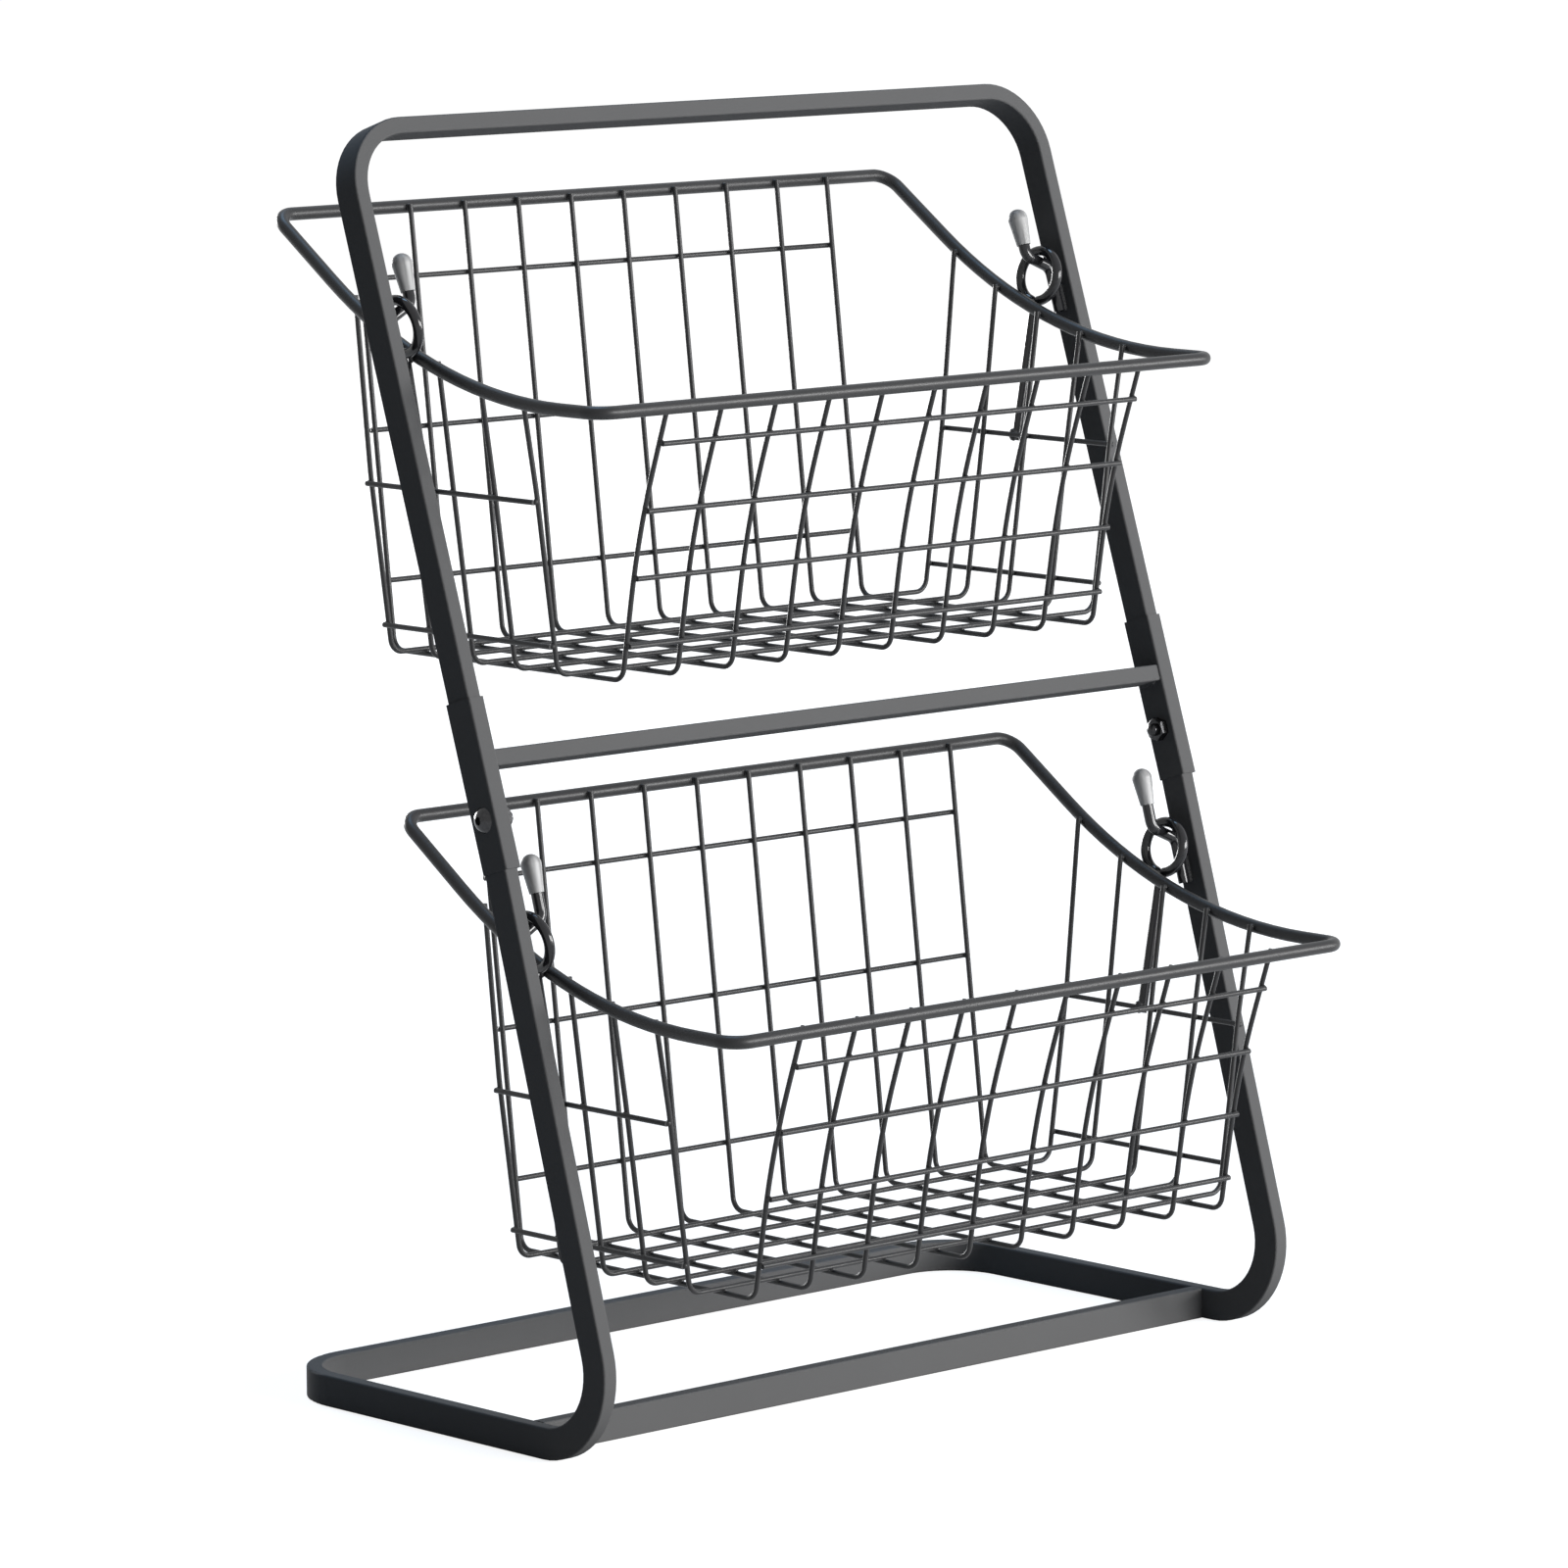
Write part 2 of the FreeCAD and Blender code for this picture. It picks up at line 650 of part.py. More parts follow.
RIM_HALF = "Size.stand_width / 2 - Size.bar_thickness - Size.basket_clearance - Size.rim_wire / 2"
LONG_RAIL = f"2 * ({RIM_HALF} - Size.long_wire_margin + Size.rail_overrun)"
FLOOR_RUN = "Size.rim_front_reach + Size.rim_back_reach - Size.front_setback - Size.back_setback"
SIDE_RAIL = f"{FLOOR_RUN} - Size.cross_front_margin - Size.cross_back_margin + 2 * Size.rail_overrun"


def straight_rails(label, place, middles, rail_axis, start, length):
    """Group of straight wires, one through each middle, from a start along their axis."""
    turn = Rotation(ALONG_Z, rail_axis)
    rails = []
    for number, middle in enumerate(middles, start=1):
        begin = moved(middle + rail_axis * start, turn)
        rails.append(cylinder(f"{label}_rail_{number}", "Size.grid_wire / 2", length, begin))
    finished(grouped(f"{label}_group", rails), label, place)


def front_rail_middles():
    heights = rows(rim_low - size.front_rail_drop, -size.front_rail_pitch, size.front_rail_count)
    return [beside(front_leg, ALONG_Z, height, ALONG_X, ALONG_Y * -1, rail_touch) for height in heights]


def back_rail_middles():
    heights = rows(rim_high - size.back_rail_drop, -size.back_rail_pitch, size.back_rail_count)
    return [beside(back_leg, ALONG_Z, height, ALONG_X, ALONG_Y, rail_touch) for height in heights]


def side_rail_middles():
    """Middles of the right-hand rails at the swing axis, lowest first."""
    heights = rows(cross_floor + size.side_rail_height, size.side_rail_pitch, size.side_rail_count)
    middles = [beside(side_leg, ALONG_Z, height, ALONG_Y, ALONG_X, rail_touch) for height in heights]
    return [Vector(middle.x, 0, middle.z) for middle in middles]


def rails(prefix, place):
    """Rails outside the grid wires on all four walls."""
    across = -last_long - size.rail_overrun
    straight_rails(f"{prefix}_front_rails", place, front_rail_middles(), ALONG_X, across, LONG_RAIL)
    straight_rails(f"{prefix}_back_rails", place, back_rail_middles(), ALONG_X, across, LONG_RAIL)
    right = side_rail_middles()
    left = [mirrored(middle) for middle in right]
    deep = first_cross - size.rail_overrun
    straight_rails(f"{prefix}_left_rails", place, left, ALONG_Y, deep, SIDE_RAIL)
    straight_rails(f"{prefix}_right_rails", place, right, ALONG_Y, deep, SIDE_RAIL)


# Line of the right-hand hanger, touching the outside of the rim and of the top side rail
hanger_radius = size.hanger_wire / 2
eye_radius = size.eye_bore / 2 + hanger_radius
rim_at_axis, _ = crossing(rim_side, ALONG_Y, 0)
top_side_rail = side_rail_middles()[-1]
rim_offset = size.rim_wire / 2 + hanger_radius + size.weld_gap
rail_offset = size.grid_wire / 2 + hanger_radius + size.weld_gap
between = rim_at_axis - top_side_rail
narrowing = math.asin((rail_offset - rim_offset) / between.Length)
outward = Rotation(ALONG_Y, 90 - math.degrees(narrowing)).multVec(between).normalize()
upward = outward.cross(ALONG_Y)
shank_low = top_side_rail + outward * rail_offset - upward * size.shank_overrun
hanger_tilt = math.degrees(math.atan2(upward.x, upward.z))
saddle = shank_low - upward * (shank_low.z / upward.z)
hook_gap = (size.hook_wire + size.hanger_wire) / 2 + size.hook_clearance
eye_above_saddle = hook_gap / math.cos(math.radians(size.hook_slope - hanger_tilt))
eye_centre = saddle + upward * (eye_above_saddle - eye_radius)


def hanger_edges():
    """Straight shank up the Z axis, a small neck and an eye around the origin in the YZ plane."""
    neck = size.eye_neck + hanger_radius
    neck_drop = math.sqrt((eye_radius + neck) ** 2 - neck**2)
    neck_centre = Vector(0, neck, -neck_drop)
    start = math.atan2(-neck_drop, neck)
    outer = eye_radius + hanger_radius
    reach = eye_radius + neck
    clear = neck + hanger_radius + size.eye_end_gap
    opening = math.acos((outer**2 + reach**2 - clear**2) / (2 * outer * reach))
    end = start + 2 * math.pi - opening

    def on_eye(share):
        angle = start + (end - start) * share
        return Vector(0, eye_radius * math.cos(angle), eye_radius * math.sin(angle))

    shank_top = Vector(0, 0, -neck_drop)
    toward_eye = (neck_centre * -1).normalize()
    neck_middle = neck_centre + (toward_eye - ALONG_Y).normalize() * neck
    return [
        Part.LineSegment(Vector(0, 0, -(eye_centre - shank_low).Length), shank_top).toShape(),
        Part.Arc(shank_top, neck_middle, on_eye(0)).toShape(),
        Part.Arc(on_eye(0), on_eye(0.25), on_eye(0.5)).toShape(),
        Part.Arc(on_eye(0.5), on_eye(0.75), on_eye(1)).toShape(),
    ]


def hanger(side, label, place):
    """Wire bent to an eye with a straight shank on the outside of the basket."""
    centre = Vector(side * eye_centre.x, eye_centre.y, eye_centre.z)
    tilt = Rotation(ALONG_Y, side * hanger_tilt)
    finished(round_wire(f"{label}_wire", hanger_edges(), "hanger_wire"), label, place * moved(centre, tilt))


def basket(prefix, axis):
    place = moved(axis)
    rim(f"{prefix}_rim", place)
    long_wires(f"{prefix}_long_wire", place)
    cross_wires(f"{prefix}_cross_wire", place)
    rails(prefix, place)
    for side, word in ((-1, "left"), (1, "right")):
        hanger(side, f"{prefix}_{word}_hanger", place)


# Assembly

front_crossbar(lower_frame_bar())
upper_frame_bar()
mid_crossbar()
upper_hook_place = (size.upper_hook_setback, upper_hook_height, size.upper_hook_rise)
lower_hook_place = (size.lower_hook_setback, lower_hook_height, size.lower_hook_rise)
for side, word in ((-1, "left"), (1, "right")):
    sleeve(side, f"{word}_sleeve")
    hook(side, f"upper_{word}_hook", upper_frame, *upper_hook_place)
    hook(side, f"lower_{word}_hook", lower_frame, *lower_hook_place)
screws = [joint_screw("left_screw", -1), joint_screw("right_screw", 1)]
finished(grouped("screw_group", screws), "joint_screws", upper_frame)
nuts = [joint_nut("left_nut", -1), joint_nut("right_nut", 1)]
finished(grouped("nut_group", nuts), "joint_nuts", upper_frame)
basket("upper_basket", upper_axis)
basket("lower_basket", lower_axis)
document.recompute()

# Checks before anything is written

for item in document.Objects:
    if "Invalid" in item.State or "Error" in item.State:
        raise RuntimeError(f"{item.Label} failed: {item.State}")
for part in sub_parts:
    if part.Shape.isNull() or not part.Shape.isValid() or not part.Shape.Solids:
        raise RuntimeError(f"{part.Label} has no sound solid")
for sweep, section, path in swept_parts:
    expected = Part.Face(Part.Wire(section.Shape.Edges)).Area * path.Shape.Length
    if abs(100 * (sweep.Shape.Volume / expected - 1)) > VOLUME_TOLERANCE_PERCENT:
        raise RuntimeError(f"{sweep.Label} is {sweep.Shape.Volume:.1f} mm3 instead of {expected:.1f}")

os.makedirs("parts", exist_ok=True)
for part in sub_parts:
    part.Shape.exportStep(f"parts/{part.Label}.step")
whole = Part.makeCompound([part.Shape for part in sub_parts]).optimalBoundingBox(False)
print(f"{len(sub_parts)} sub-parts, {whole.XLength:.1f} x {whole.YLength:.1f} x {whole.ZLength:.1f} mm")
print(f"swing axes: upper {upper_axis}, lower {lower_axis}, front foot at {foot_line:.3f}")
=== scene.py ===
import bmesh
import bpy
import math
from mathutils import Matrix, Vector
from mathutils.bvhtree import BVHTree


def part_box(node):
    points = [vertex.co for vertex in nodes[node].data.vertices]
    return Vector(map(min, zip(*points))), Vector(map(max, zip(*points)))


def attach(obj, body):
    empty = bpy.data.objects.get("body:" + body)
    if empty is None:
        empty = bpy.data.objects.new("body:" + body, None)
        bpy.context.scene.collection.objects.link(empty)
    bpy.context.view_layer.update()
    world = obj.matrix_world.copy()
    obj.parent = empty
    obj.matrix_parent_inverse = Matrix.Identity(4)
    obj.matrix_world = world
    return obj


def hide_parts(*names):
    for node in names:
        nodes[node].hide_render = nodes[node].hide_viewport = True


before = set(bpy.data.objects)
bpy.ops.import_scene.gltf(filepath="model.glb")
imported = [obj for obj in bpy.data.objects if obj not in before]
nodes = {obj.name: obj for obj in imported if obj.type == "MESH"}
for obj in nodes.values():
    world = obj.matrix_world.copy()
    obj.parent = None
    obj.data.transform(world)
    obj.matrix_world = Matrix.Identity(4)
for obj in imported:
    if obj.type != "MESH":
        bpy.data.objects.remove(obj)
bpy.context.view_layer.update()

scene = bpy.context.scene
baskets = ("upper_basket", "lower_basket")
sides = {"left": -1, "right": 1}  # the sign of x there
mm = 0.001


# camera, at the angle of the photograph
cameraView = {
    "azimuth": -43.065, "elevation": 8.174, "roll": -0.169,  # degrees
    "target": (0.019577, 0.038455, 0.220561), "distance": 3.07526,
    "lens": 183.395, "sensor": 36.0, "farthest": 100.0,
}


def addCamera(view):
    azimuth, elevation, roll = (math.radians(view[k]) for k in ("azimuth", "elevation", "roll"))
    level = math.cos(elevation)
    back = Vector((math.sin(azimuth) * level, -math.cos(azimuth) * level, math.sin(elevation)))
    right = Vector((math.cos(azimuth), math.sin(azimuth), 0))
    tilted = right * math.cos(roll) + back.cross(right) * math.sin(roll)
    turn = Matrix((tilted, back.cross(tilted), back)).transposed()
    data = bpy.data.cameras.new("photoCamera")
    data.lens = view["lens"]
    data.sensor_width = view["sensor"]
    data.clip_end = view["farthest"]
    camera = bpy.data.objects.new("photoCamera", data)
    scene.collection.objects.link(camera)
    place = Vector(view["target"]) + back * view["distance"]
    camera.matrix_world = Matrix.Translation(place) @ turn.to_4x4()
    scene.camera = camera


addCamera(cameraView)
print("camera: set")


# studio: pale floor, softboxes in front, at the right, behind and above, a dim room
studio = {
    "floorRadius": 25.0, "floorSegments": 96, "floorColour": (0.4, 0.4, 0.4, 1),
    "nearWhite": 0.86, "farWhite": 0.99,  # how white the floor is seen, close by and far off
    "nearEdge": 0.3, "farEdge": 1.4,  # metres from the middle where that begins and ends to change
    "roomColour": (0.95, 0.97, 1.0, 1), "roomLevel": 0.115,
    "middle": (0, 0, 0.24),  # what the softboxes point at
    "softboxes": {
        "frontSoftbox": {
            "toward": (0.25, -0.95, 0.2), "away": 4.0, "size": (1.8, 1.2),
            "watts": 165, "colour": (1, 1, 1),
        },
        "rightSoftbox": {
            "toward": (0.70, -0.70, 0.14), "away": 4.0, "size": (1.2, 1.2),
            "watts": 110, "colour": (1, 1, 1),
        },
        "backSoftbox": {
            "toward": (0.15, 0.95, 0.06), "away": 4.0, "size": (1.8, 1.2),
            "watts": 130, "colour": (1, 1, 1),
        },
        "topSoftbox": {  # cool, as on the upper faces in the photograph
            "toward": (0.1, 0.3, 1.0), "away": 3.0, "size": (1.2, 1.2),
            "watts": 36, "colour": (0.38, 0.66, 1),
        },
    },
}


def seenRay(tree):  # 1 for what the camera, a reflection or a clear tip sees
    path = tree.nodes.new("ShaderNodeLightPath")
    most = path.outputs["Is Camera Ray"]
    for name in ("Is Glossy Ray", "Is Transmission Ray"):
        both = tree.nodes.new("ShaderNodeMath")
        both.operation = "MAXIMUM"
        tree.links.new(most, both.inputs[0])
        tree.links.new(path.outputs[name], both.inputs[1])
        most = both.outputs[0]
    return most


def addRoom(studio):
    world = bpy.data.worlds.new("room")
    scene.world = world
    world.use_nodes = True
    tree = world.node_tree
    tree.nodes.clear()
    out = tree.nodes.new("ShaderNodeOutputWorld")
    light = tree.nodes.new("ShaderNodeBackground")
    light.inputs["Color"].default_value = studio["roomColour"]
    light.inputs["Strength"].default_value = studio["roomLevel"]
    white = tree.nodes.new("ShaderNodeBackground")
    white.inputs["Color"].default_value = (1, 1, 1, 1)
    white.inputs["Strength"].default_value = 1
    mix = tree.nodes.new("ShaderNodeMixShader")
    tree.links.new(seenRay(tree), mix.inputs["Fac"])
    tree.links.new(light.outputs[0], mix.inputs[1])
    tree.links.new(white.outputs[0], mix.inputs[2])
    tree.links.new(mix.outputs[0], out.inputs["Surface"])


def makeFloorPaper(studio):  # matt paper that is seen nearly white, and takes the shadow
    paper = bpy.data.materials.new("floorPaper")
    paper.use_nodes = True
    tree = paper.node_tree
    tree.nodes.clear()
    link = tree.links.new
    out = tree.nodes.new("ShaderNodeOutputMaterial")
    matt = tree.nodes.new("ShaderNodeBsdfDiffuse")
    matt.inputs["Color"].default_value = studio["floorColour"]
    place = tree.nodes.new("ShaderNodeTexCoord")
    away = tree.nodes.new("ShaderNodeVectorMath")
    away.operation = "LENGTH"
    link(place.outputs["Object"], away.inputs[0])
    fade = tree.nodes.new("ShaderNodeMapRange")
    fade.inputs["From Min"].default_value = studio["nearEdge"]
    fade.inputs["From Max"].default_value = studio["farEdge"]
    fade.inputs["To Min"].default_value = studio["nearWhite"]
    fade.inputs["To Max"].default_value = studio["farWhite"]
    link(away.outputs["Value"], fade.inputs["Value"])
    level = tree.nodes.new("ShaderNodeMath")
    level.operation = "MULTIPLY"
    link(seenRay(tree), level.inputs[0])
    link(fade.outputs["Result"], level.inputs[1])
    white = tree.nodes.new("ShaderNodeEmission")
    link(level.outputs[0], white.inputs["Strength"])
    both = tree.nodes.new("ShaderNodeAddShader")
    link(matt.outputs[0], both.inputs[0])
    link(white.outputs[0], both.inputs[1])
    link(both.outputs[0], out.inputs["Surface"])
    return paper


def addFloor(studio):
    bm = bmesh.new()
    bmesh.ops.create_circle(
        bm, cap_ends=True, segments=studio["floorSegments"], radius=studio["floorRadius"])
    mesh = bpy.data.meshes.new("floor")
    bm.to_mesh(mesh)
    bm.free()
    mesh.materials.append(makeFloorPaper(studio))
    floor = bpy.data.objects.new("floor", mesh)
    scene.collection.objects.link(floor)


def addSoftboxes(studio):
    for name, box in studio["softboxes"].items():
        data = bpy.data.lights.new(name, "AREA")
        data.shape = "RECTANGLE"
        data.size, data.size_y = box["size"]
        data.energy = box["watts"]
        data.color = box["colour"]
        lamp = bpy.data.objects.new(name, data)
        scene.collection.objects.link(lamp)
        toward = Vector(box["toward"]).normalized()
        lamp.location = Vector(studio["middle"]) + toward * box["away"]
        lamp.rotation_euler = toward.to_track_quat("Z", "Y").to_euler()


addRoom(studio)
addFloor(studio)
addSoftboxes(studio)
scene.view_settings.view_transform = "Standard"
print("studio: floor, room and", len(studio["softboxes"]), "softboxes")


# powder coat, shared by bar, wire and hooks: soft peel, fine specks, slow changes of tone
coatPattern = {
    "peelDetail": 2.0, "peelRoughness": 0.5,
    "speckDetail": 1.0, "speckRoughness": 0.5,
    "toneDetail": 4.0, "toneRoughness": 0.6,
    "toneLow": 0.3, "toneHigh": 0.7,  # where most of the noise lies
    "speckShare": 0.35, "toneShare": 0.65,  # of the colour
    "speckHeight": 0.25,  # beside a peel of 1
}


def addGroup(name, inputs, outputs):
    group = bpy.data.node_groups.new(name, "ShaderNodeTree")
    for socket, (kind, value) in inputs.items():
        made = group.interface.new_socket(socket, in_out="INPUT", socket_type=kind)
        if value is not None:
            made.default_value = value
    for socket, kind in outputs.items():
        group.interface.new_socket(socket, in_out="OUTPUT", socket_type=kind)
    start = group.nodes.new("NodeGroupInput")
    end = group.nodes.new("NodeGroupOutput")
    return group, start.outputs, end.inputs


def addNoise(tree, vector, scale, detail, roughness):
    noise = tree.nodes.new("ShaderNodeTexNoise")
    noise.inputs["Detail"].default_value = detail
    noise.inputs["Roughness"].default_value = roughness
    tree.links.new(vector, noise.inputs["Vector"])
    tree.links.new(scale, noise.inputs["Scale"])
    return noise.outputs["Fac"]


def addScaled(tree, value, factor, added=None):  # value * factor, and added to another value
    scaled = tree.nodes.new("ShaderNodeMath")
    scaled.operation = "MULTIPLY" if added is None else "MULTIPLY_ADD"
    scaled.inputs[1].default_value = factor
    tree.links.new(value, scaled.inputs[0])
    if added is not None:
        tree.links.new(added, scaled.inputs[2])
    return scaled.outputs[0]


def addCoatGroup(pattern):
    inputs = {
        "Vector": ("NodeSocketVector", None),
        "Peel Scale": ("NodeSocketFloat", 700.0),
        "Speck Scale": ("NodeSocketFloat", 3200.0),
        "Tone Scale": ("NodeSocketFloat", 22.0),
        "Deep Colour": ("NodeSocketColor", (0.05, 0.05, 0.05, 1)),
        "Thin Colour": ("NodeSocketColor", (0.06, 0.06, 0.06, 1)),
        "Low Roughness": ("NodeSocketFloat", 0.4),
        "High Roughness": ("NodeSocketFloat", 0.55),
    }
    outputs = {
        "Colour": "NodeSocketColor", "Roughness": "NodeSocketFloat", "Height": "NodeSocketFloat",
    }
    group, start, end = addGroup("powderCoat", inputs, outputs)
    link = group.links.new
    peel, speck, tone = (
        addNoise(group, start["Vector"], start[kind.capitalize() + " Scale"],
                 pattern[kind + "Detail"], pattern[kind + "Roughness"])
        for kind in ("peel", "speck", "tone"))
    slow = addScaled(group, tone, pattern["toneShare"])
    colour = group.nodes.new("ShaderNodeMix")
    colour.data_type = "RGBA"
    link(addScaled(group, speck, pattern["speckShare"], slow), colour.inputs["Factor"])
    link(start["Deep Colour"], colour.inputs["A"])
    link(start["Thin Colour"], colour.inputs["B"])
    link(colour.outputs["Result"], end["Colour"])
    rough = group.nodes.new("ShaderNodeMapRange")
    rough.inputs["From Min"].default_value = pattern["toneLow"]
    rough.inputs["From Max"].default_value = pattern["toneHigh"]
    link(tone, rough.inputs["Value"])
    link(start["Low Roughness"], rough.inputs["To Min"])
    link(start["High Roughness"], rough.inputs["To Max"])
    link(rough.outputs["Result"], end["Roughness"])
    link(addScaled(group, speck, pattern["speckHeight"], peel), end["Height"])
    return group


def newMaterial(name):
    material = bpy.data.materials.new(name)
    material.use_nodes = True
    tree = material.node_tree
    tree.nodes.clear()
    out = tree.nodes.new("ShaderNodeOutputMaterial")
    shader = tree.nodes.new("ShaderNodeBsdfPrincipled")
    tree.links.new(shader.outputs["BSDF"], out.inputs["Surface"])
    place = tree.nodes.new("ShaderNodeTexCoord")
    return material, tree, shader, place.outputs["Object"]


def addBump(tree, shader, height, depth):
    bump = tree.nodes.new("ShaderNodeBump")
    bump.inputs["Distance"].default_value = depth
    tree.links.new(height, bump.inputs["Height"])
    tree.links.new(bump.outputs["Normal"], shader.inputs["Normal"])


def makeCoat(name, coat, group):
    material, tree, shader, place = newMaterial(name)
    texture = tree.nodes.new("ShaderNodeGroup")
    texture.node_tree = group
    tree.links.new(place, texture.inputs["Vector"])
    for socket, value in coat["texture"].items():
        texture.inputs[socket].default_value = value
    tree.links.new(texture.outputs["Colour"], shader.inputs["Base Color"])
    tree.links.new(texture.outputs["Roughness"], shader.inputs["Roughness"])
    shader.inputs["Specular IOR Level"].default_value = coat["specular"]
    addBump(tree, shader, texture.outputs["Height"], coat["peelDepth"])
    return material


coats = {
    "barCoat": {  # matt black on the flat bar
        "texture": {
            "Peel Scale": 650.0, "Tone Scale": 16.0,
            "Deep Colour": (0.090, 0.090, 0.091, 1), "Thin Colour": (0.108, 0.108, 0.109, 1),
            "Low Roughness": 0.74, "High Roughness": 0.86,
        },
        "specular": 0.015, "peelDepth": 0.00002,
    },
    "wireCoat": {  # satin black on the grid and rims
        "texture": {
            "Peel Scale": 900.0, "Tone Scale": 30.0,
            "Deep Colour": (0.020, 0.020, 0.021, 1), "Thin Colour": (0.029, 0.029, 0.030, 1),
            "Low Roughness": 0.37, "High Roughness": 0.45,
        },
        "specular": 0.25, "peelDepth": 0.000012,
    },
    "hookCoat": {  # rubbed glossy where eyes and hooks meet
        "texture": {
            "Peel Scale": 1100.0, "Tone Scale": 60.0,
            "Deep Colour": (0.012, 0.012, 0.014, 1), "Thin Colour": (0.018, 0.018, 0.020, 1),
            "Low Roughness": 0.10, "High Roughness": 0.17,
        },
        "specular": 0.35, "peelDepth": 0.000004,
    },
}
coatGroup = addCoatGroup(coatPattern)
finishes = {name: makeCoat(name, coat, coatGroup) for name, coat in coats.items()}


# finishes of their own, each from one noise
def addOwnNoise(tree, vector, look):
    noise = tree.nodes.new("ShaderNodeTexNoise")
    noise.inputs["Scale"].default_value = look["scale"]
    noise.inputs["Detail"].default_value = look["detail"]
    tree.links.new(vector, noise.inputs["Vector"])
    return noise.outputs["Fac"]


def followNoise(tree, shader, value, look):  # colour, roughness and height by one value
    colour = tree.nodes.new("ShaderNodeMix")
    colour.data_type = "RGBA"
    colour.inputs["A"].default_value = look["deep"]
    colour.inputs["B"].default_value = look["pale"]
    tree.links.new(value, colour.inputs["Factor"])
    tree.links.new(colour.outputs["Result"], shader.inputs["Base Color"])
    rough = tree.nodes.new("ShaderNodeMapRange")
    rough.inputs["To Min"].default_value = look["lowRoughness"]
    rough.inputs["To Max"].default_value = look["highRoughness"]
    tree.links.new(value, rough.inputs["Value"])
    tree.links.new(rough.outputs["Result"], shader.inputs["Roughness"])
    addBump(tree, shader, value, look["depth"])


tipPlastic = {  # cloudy clear plastic; the lighter streaks along the drop are painted highlights, standing in for reflections of the lamps
    "deep": (0.22, 0.22, 0.22, 1), "pale": (0.42, 0.42, 0.42, 1),
    "lean": -17.4, "stretch": 0.05,  # degrees, the painted highlight streaks' width beside their length
    "scale": 480.0, "detail": 1, "noiseLow": 0.34, "noiseHigh": 0.66, "depth": 0.000006,
    "lowRoughness": 0.38, "highRoughness": 0.5, "clear": 0.06, "ior": 1.46,
}


def makeTipPlastic(tip):
    material, tree, shader, place = newMaterial("tipPlastic")
    along = tree.nodes.new("ShaderNodeMapping")
    along.vector_type = "TEXTURE"
    along.inputs["Rotation"].default_value = (math.radians(tip["lean"]), 0, 0)
    along.inputs["Scale"].default_value = (1, 1, 1 / tip["stretch"])
    tree.links.new(place, along.inputs["Vector"])
    # painted highlight: pale streaks along the drop, in place of reflections in the clear plastic
    paintedStreaks = tree.nodes.new("ShaderNodeMapRange")
    paintedStreaks.inputs["From Min"].default_value = tip["noiseLow"]
    paintedStreaks.inputs["From Max"].default_value = tip["noiseHigh"]
    tree.links.new(addOwnNoise(tree, along.outputs["Vector"], tip), paintedStreaks.inputs["Value"])
    followNoise(tree, shader, paintedStreaks.outputs["Result"], tip)
    shader.inputs["Transmission Weight"].default_value = tip["clear"]
    shader.inputs["IOR"].default_value = tip["ior"]
    return material


screwSteel = {  # dark steel, rubbed here and there
    "deep": (0.020, 0.020, 0.021, 1), "pale": (0.055, 0.055, 0.057, 1),
    "scale": 900, "detail": 4, "depth": 0.00001,
    "lowRoughness": 0.14, "highRoughness": 0.26, "metallic": 0.9,
}


def makeScrewSteel(steel):
    material, tree, shader, place = newMaterial("screwSteel")
    followNoise(tree, shader, addOwnNoise(tree, place, steel), steel)
    shader.inputs["Metallic"].default_value = steel["metallic"]
    return material


finishes["tipPlastic"] = makeTipPlastic(tipPlastic)
finishes["screwSteel"] = makeScrewSteel(screwSteel)
print("finishes:", ", ".join(finishes))


def finishOf(name):
    if name.endswith("_tip"):
        return "tipPlastic"
    if name.startswith("joint_"):
        return "screwSteel"
    if name.endswith(("_hook", "_hanger")):
        return "hookCoat"
    if name.startswith(baskets):
        return "wireCoat"
    return "barCoat"


for name, node in nodes.items():
    node.data.materials.clear()
    node.data.materials.append(finishes[finishOf(name)])
print("nodes:", len(nodes), "finished")


# pieces that the solids leave out
def addPiece(name, bm, finish, body, smooth=True):
    for face in bm.faces:
        face.smooth = smooth
    mesh = bpy.data.meshes.new(name)
    bm.to_mesh(mesh)
    bm.free()
    mesh.materials.append(finishes[finish])
    piece = bpy.data.objects.new(name, mesh)
    scene.collection.objects.link(piece)
    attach(piece, body)
    return piece


def pointsOf(name):
    return [vertex.co for vertex in nodes[name].data.vertices]


def treeOf(name):
    mesh = nodes[name].data
    return BVHTree.FromPolygons(pointsOf(name), [face.vertices for face in mesh.polygons])


def middleOf(points):
    return Vector((min(p[k] for p in points) + max(p[k] for p in points)) / 2 for k in range(3))


weldDrop = {"segments": 8, "rings": 5}  # a few dozen faces, since there are hundreds


def addDrop(bm, place, size, turn=Matrix()):  # rounded spot of weld
    matrix = Matrix.Translation(place) @ turn @ Matrix.Diagonal((*size, 1))
    bmesh.ops.create_uvsphere(
        bm, u_segments=weldDrop["segments"], v_segments=weldDrop["rings"], radius=1, matrix=matrix)


# spot welds of the baskets
spotWelds = {
    "grid": (1.18 * mm,) * 3, "rim": (1.2 * mm,) * 3, "hanger": (1.7 * mm, 2.1 * mm, 2.6 * mm),
    "rowGap": 5 * mm,  # more than this apart in height, two rails
    "endCut": 1.2 * mm,  # length of wire that counts as its end
    "rimDrop": 0.8 * mm,  # how far under a wire's end its weld to the rim is
    "eyeWidth": 24 * mm, "steps": 60,  # height of a hanger's eye, points tried along its shank
}


def railMiddles(name):
    rows = []
    for point in sorted(pointsOf(name), key=lambda p: p.z):
        if rows and point.z - rows[-1][-1].z < spotWelds["rowGap"]:
            rows[-1].append(point)
        else:
            rows.append([point])
    return [middleOf(row) for row in rows]


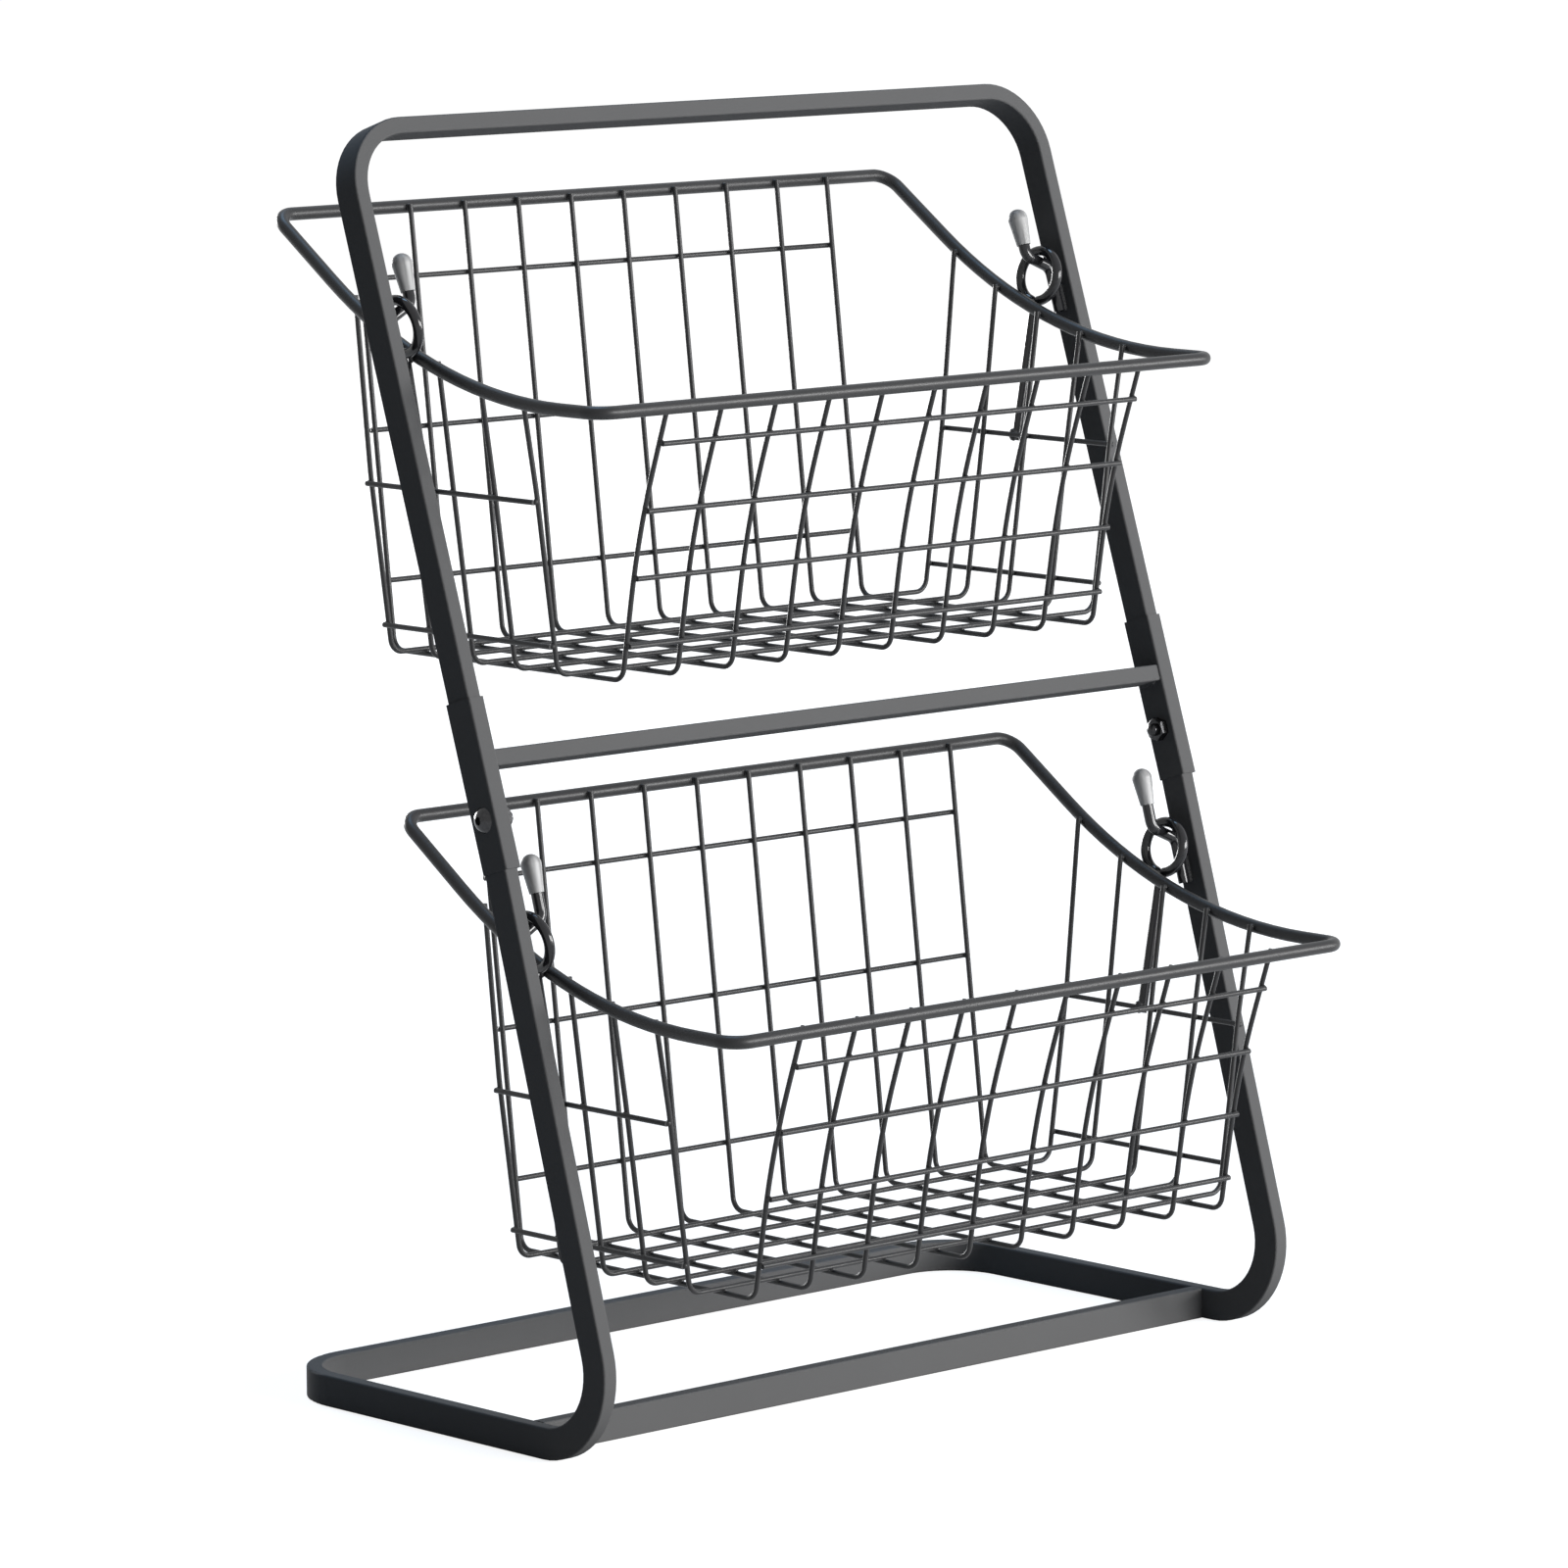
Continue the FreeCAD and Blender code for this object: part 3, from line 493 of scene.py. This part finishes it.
def wireEnds(name, axis):  # just under the two upper ends of a bent wire
    points = pointsOf(name)
    centre = middleOf(points)[axis]
    ends = []
    for sign in (-1, 1):
        half = [p for p in points if (p[axis] - centre) * sign > 0]
        top = max(p.z for p in half) - spotWelds["endCut"]
        end = middleOf([p for p in half if p.z > top])
        ends.append(end - Vector((0, 0, spotWelds["rimDrop"])))
    return ends


def hangerTouches(name, trees):  # where a hanger's shank comes nearest to each wire it is welded to
    points = pointsOf(name)
    top, bottom = max(p.z for p in points), min(p.z for p in points)
    eye = middleOf([p for p in points if p.z > top - spotWelds["eyeWidth"]])
    foot = middleOf([p for p in points if p.z < bottom + spotWelds["endCut"]])
    shank = [foot.lerp(eye, step / spotWelds["steps"]) for step in range(spotWelds["steps"])]
    for tree in trees:
        yield min((tree.find_nearest(point) for point in shank), key=lambda hit: hit[3])[0]


def addSpotWelds(basket):
    names = [name for name in nodes if name.startswith(basket)]
    trees = {name: treeOf(name) for name in names}
    rim = trees[basket + "_rim"]
    longWires = [name for name in names if "_long_wire_" in name]
    crossWires = [name for name in names if "_cross_wire_" in name]
    spots = {"grid": [], "rim": [], "hanger": []}
    for wire in longWires:
        x = middleOf(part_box(wire)).x
        for wall in ("front", "back"):
            for rail in railMiddles(f"{basket}_{wall}_rails"):
                touch = trees[wire].find_nearest(Vector((x, rail.y, rail.z)))
                spots["grid"].append(touch[0])
        for cross in crossWires:
            low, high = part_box(cross)
            spots["grid"].append(Vector((x, middleOf((low, high)).y, low[2])))
        spots["rim"] += [rim.find_nearest(end)[0] for end in wireEnds(wire, 1)]
    for cross in crossWires:
        y = middleOf(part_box(cross)).y
        for side in sides:
            for rail in railMiddles(f"{basket}_{side}_rails"):
                touch = trees[cross].find_nearest(Vector((rail.x, y, rail.z)))
                spots["grid"].append(touch[0])
        spots["rim"] += [rim.find_nearest(end)[0] for end in wireEnds(cross, 0)]
    for side in sides:
        walls = [rim, trees[f"{basket}_{side}_rails"]]
        spots["hanger"] += hangerTouches(f"{basket}_{side}_hanger", walls)
    bm = bmesh.new()
    for kind, places in spots.items():
        for place in places:
            addDrop(bm, place, spotWelds[kind])
    addPiece(basket + "_welds", bm, "wireCoat", basket)
    return sum(len(places) for places in spots.values())


print("spot welds:", [addSpotWelds(basket) for basket in baskets])


# beads that hold the crossbars and the hooks, laid where the front doesn't show them
beads = {
    "drop": (0.9 * mm, 1.2 * mm, 1.2 * mm), "pitch": 1.4 * mm, "rows": 6,
    "lean": {"upper": 18.3, "lower": 16.53},  # degrees, of the uprights
    "midThickness": 6.3 * mm, "midSetback": 1.5 * mm,
    "hookDrop": (1.3 * mm, 1.1 * mm, 1.3 * mm), "hookRows": 7,
    "hookSide": 1.9 * mm, "hookFoot": 1.2 * mm,
}


def addBead(bm, start, direction, count, size, turn):
    for step in range(count):
        addDrop(bm, start + direction * (beads["pitch"] * step), size, turn)


def addStandBeads():
    bm = bmesh.new()
    run = beads["pitch"] * (beads["rows"] - 1)
    low, high = (Vector(corner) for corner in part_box("front_crossbar"))
    for sign in sides.values():  # behind the front crossbar, up its ends
        start = Vector((sign * high.x, high.y, (low.z + high.z - run) / 2))
        addBead(bm, start, Vector((0, 0, 1)), beads["rows"], beads["drop"], Matrix())
    lean = {
        tier: Matrix.Rotation(-math.radians(angle), 4, "X") for tier, angle in beads["lean"].items()
    }
    low, high = (Vector(corner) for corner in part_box("mid_crossbar"))
    inset = Vector((0, beads["midSetback"] - run / 2, -beads["midThickness"] / 2))
    under = (low + high) / 2 + lean["upper"] @ inset
    along = lean["upper"] @ Vector((0, 1, 0))
    for sign in sides.values():  # under the middle bar, along its ends
        start = Vector((sign * high.x, under.y, under.z))
        addBead(bm, start, along, beads["rows"], beads["drop"], lean["upper"])
    for tier, turn in lean.items():  # on both sides of each hook's leg
        up = turn @ Vector((0, 0, 1))
        for side, sign in sides.items():
            points = pointsOf(f"{tier}_{side}_hook")
            footTop = min(p.z for p in points) + spotWelds["endCut"]
            foot = middleOf([p for p in points if p.z < footTop])
            wall = max(p.x * sign for p in points) * sign
            for across in (-1, 1):
                beside = turn @ Vector((0, across * beads["hookSide"], beads["hookFoot"]))
                start = Vector((wall, foot.y, foot.z)) + beside
                addBead(bm, start, up, beads["hookRows"], beads["hookDrop"], turn)
    addPiece("stand_welds", bm, "barCoat", "stand")


addStandBeads()
print("stand welds: laid")


# chamfered nuts in place of the plain ones
hexNut = {
    "width": 8.0 * mm, "height": 3.5 * mm, "bore": 2.55 * mm, "corners": 6,
    "flat": 0.94,  # width of the upper face beside the nut's
    "chamfer": 30,  # degrees
    "cuts": 3,  # in each side, so that the chamfer's edge is round
    "spoke": 0.2,  # least length of an edge from bore to side, beside half the width
}


def verticesIn(made):
    return [item for item in made if isinstance(item, bmesh.types.BMVert)]


def addNut(bm, points, inward):
    centre = middleOf(points)
    corner = max(points, key=lambda p: (p - centre).yz.length)
    angle = math.atan2(corner.z - centre.z, corner.y - centre.y)
    seat = max(points, key=lambda p: -p.x * inward).x
    halfWidth = hexNut["width"] / 2
    flatRadius = halfWidth * hexNut["flat"]
    slope = math.tan(math.radians(hexNut["chamfer"]))
    made = bmesh.new()
    bmesh.ops.create_circle(made, segments=hexNut["corners"], radius=hexNut["width"] / math.sqrt(3))
    bmesh.ops.subdivide_edges(made, edges=made.edges[:], cuts=hexNut["cuts"])
    bmesh.ops.create_circle(made, segments=len(made.verts), radius=hexNut["bore"])
    bmesh.ops.bridge_loops(made, edges=made.edges[:])
    top = verticesIn(bmesh.ops.extrude_face_region(made, geom=made.faces[:])["geom"])
    bmesh.ops.translate(made, verts=top, vec=(0, 0, hexNut["height"]))
    spokes = []
    for edge in made.edges:
        inner, outer = sorted(vert.co.xy.length for vert in edge.verts)
        onTop = all(vert in top for vert in edge.verts)
        if onTop and outer - inner > halfWidth * hexNut["spoke"]:
            spokes.append(edge)
    cut = bmesh.ops.subdivide_edges(made, edges=spokes, cuts=1)["geom_inner"]
    for vert in verticesIn(cut):
        vert.co.xy = vert.co.xy.normalized() * flatRadius
    for vert in made.verts:
        past = vert.co.xy.length - flatRadius
        if vert.co.z > hexNut["height"] / 2 and past > 0:
            vert.co.z -= past * slope
    bmesh.ops.recalc_face_normals(made, faces=made.faces[:])
    turn = Matrix.Rotation(angle, 4, "X") @ Matrix.Rotation(math.radians(90) * inward, 4, "Y")
    place = Matrix.Translation((seat, centre.y, centre.z)) @ turn
    bmesh.ops.transform(made, matrix=place, verts=made.verts[:])
    mesh = bpy.data.meshes.new("oneNut")
    made.to_mesh(mesh)
    made.free()
    bm.from_mesh(mesh)
    bpy.data.meshes.remove(mesh)


def addNuts():
    bm = bmesh.new()
    points = pointsOf("joint_nuts")
    for sign in sides.values():
        addNut(bm, [p for p in points if p.x * sign > 0], -sign)
    nuts = addPiece("chamfered_nuts", bm, "screwSteel", "stand", smooth=False)
    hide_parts("joint_nuts")


addNuts()
print("nuts: chamfered")
